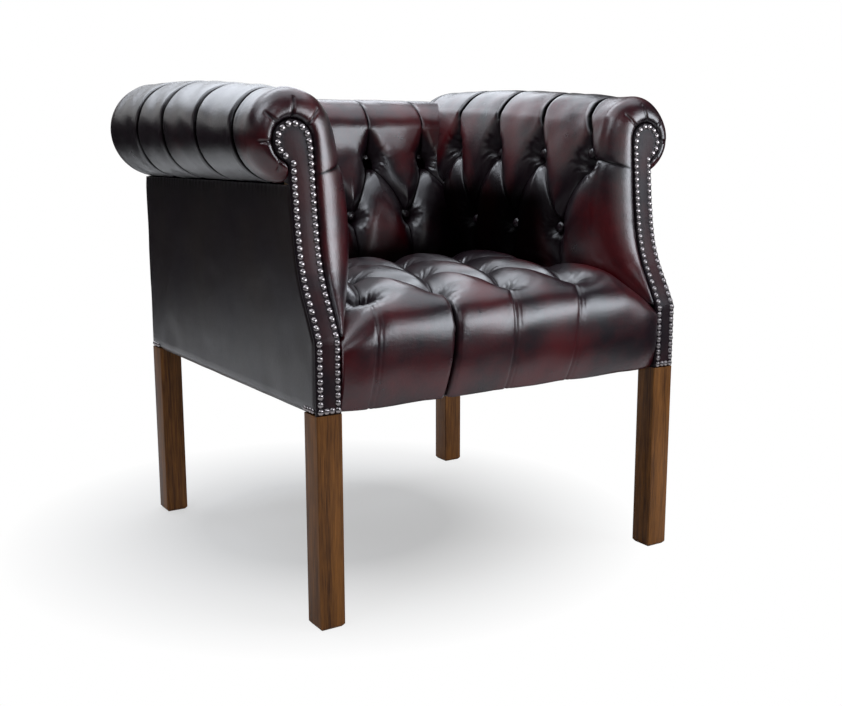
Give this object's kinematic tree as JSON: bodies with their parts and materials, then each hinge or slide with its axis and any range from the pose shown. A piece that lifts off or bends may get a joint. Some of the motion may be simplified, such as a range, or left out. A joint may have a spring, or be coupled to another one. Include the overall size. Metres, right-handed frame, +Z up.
{
  "type": "tub armchair",
  "caption": "Low tub armchair on square legs, with rolled tufted arms and back, a tufted seat, padded scroll fronts and nail-trimmed facings.",
  "frame": {"origin": "on the floor under the middle of the chair's bounding box", "axes": "+X to the right as seen from the front, +Y from the seat's front edge to the back, +Z up"},
  "size_m": [0.805, 0.7326, 0.792],
  "materials": {
    "cover_leather": "glossy two-tone oxblood leather, darker in the folds",
    "button_leather": "leather-covered buttons",
    "panel_leather": "tight smooth dark leather",
    "nail_metal": "antique domed upholstery nails",
    "leg_wood": "dark stained and lacquered hardwood",
    "frame_timber": "plain unfinished hardwood",
    "stuffing": "upholstery foam",
    "jute": "woven jute",
    "dust_cloth": "black non-woven cloth"
  },
  "bodies": {
    "root": {"arm_border_left": "cover_leather", "arm_border_right": "cover_leather", "arm_buttons_left": "button_leather", "arm_buttons_right": "button_leather", "arm_cover_left": "cover_leather", "arm_cover_right": "cover_leather", "arm_foam_left": "stuffing", "arm_foam_right": "stuffing", "arm_hessian_left": "jute", "arm_hessian_right": "jute", "arm_post_left": "frame_timber", "arm_post_right": "frame_timber", "arm_rail_low_left": "frame_timber", "arm_rail_low_right": "frame_timber", "arm_rail_top_left": "frame_timber", "arm_rail_top_right": "frame_timber", "back_buttons": "button_leather", "back_cover": "cover_leather", "back_foam": "stuffing", "back_hessian": "jute", "back_post_left": "frame_timber", "back_post_right": "frame_timber", "back_rail_low": "frame_timber", "back_rail_top": "frame_timber", "corner_block_front_left": "frame_timber", "corner_block_front_right": "frame_timber", "corner_block_rear_left": "frame_timber", "corner_block_rear_right": "frame_timber", "corner_cover_left": "cover_leather", "corner_cover_right": "cover_leather", "dust_cover": "dust_cloth", "facing_left": "panel_leather", "facing_nails_left": "nail_metal", "facing_nails_right": "nail_metal", "facing_right": "panel_leather", "leg_front_left": "leg_wood", "leg_front_right": "leg_wood", "leg_rear_left": "leg_wood", "leg_rear_right": "leg_wood", "outer_panel_back": "panel_leather", "outer_panel_side_left": "panel_leather", "outer_panel_side_right": "panel_leather", "seat_buttons": "button_leather", "seat_cover": "cover_leather", "seat_foam": "stuffing", "seat_hessian": "jute", "seat_rail_front": "frame_timber", "seat_rail_rear": "frame_timber", "seat_rail_side_left": "frame_timber", "seat_rail_side_right": "frame_timber", "seat_webbing_across": "jute", "seat_webbing_along": "jute", "side_nails_left": "nail_metal", "side_nails_right": "nail_metal"}
  },
  "joints": []
}
